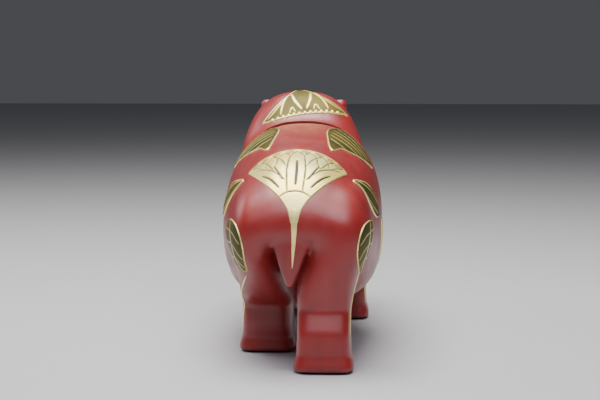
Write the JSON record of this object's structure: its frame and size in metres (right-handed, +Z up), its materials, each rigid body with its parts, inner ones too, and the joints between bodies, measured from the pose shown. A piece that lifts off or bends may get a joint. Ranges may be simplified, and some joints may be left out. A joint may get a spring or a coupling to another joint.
{
  "type": "cast iron still bank",
  "caption": "Hollow cast iron money bank in the form of a walking hippopotamus, with a coin slot across the nape and a screwed belly plate with a hinged, locking trap door.",
  "frame": {"origin": "on the floor under the middle of the bank", "axes": "+Y forward to the head, +Z up, +X the animal's right side"},
  "size_m": [0.0714, 0.19, 0.1104],
  "materials": {
    "red_lacquered_iron": "satin red lacquer over cast iron",
    "red_lacquered_plate": "satin red lacquer on steel sheet",
    "gilding": "gold leaf over low relief",
    "dark_gilding": "aged dark gilding in the fields",
    "eye_enamel": "gloss black enamel",
    "zinc_steel": "zinc plated steel",
    "brass": "turned brass",
    "felt": "black felt"
  },
  "bodies": {
    "bank": {"body_casting": "red_lacquered_iron", "belly_plate": "red_lacquered_plate", "plate_screws": "zinc_steel", "trap_hinge_pin": "zinc_steel", "foot_pad_hind_right": "felt", "foot_pad_hind_left": "felt", "foot_pad_fore_right": "felt", "foot_pad_fore_left": "felt"},
    "trap": {"trap_door": "red_lacquered_plate", "lock_housing": "brass", "lock_nut": "brass"},
    "lock": {"lock_plug": "zinc_steel", "lock_spring_washer": "zinc_steel", "lock_cam": "zinc_steel", "cam_screw": "zinc_steel"}
  },
  "joints": [
    {"name": "trap_hinge", "type": "hinge", "parent": "bank", "child": "trap", "pos_m": [0, -0.0101, 0.0189], "axis": [-1, 0, 0], "range_deg": [0, 100]},
    {"name": "lock_turn", "type": "hinge", "parent": "trap", "child": "lock", "pos_m": [0, 0.0111, 0.021], "axis": [0, 0, 1], "range_deg": [0, 90]}
  ]
}
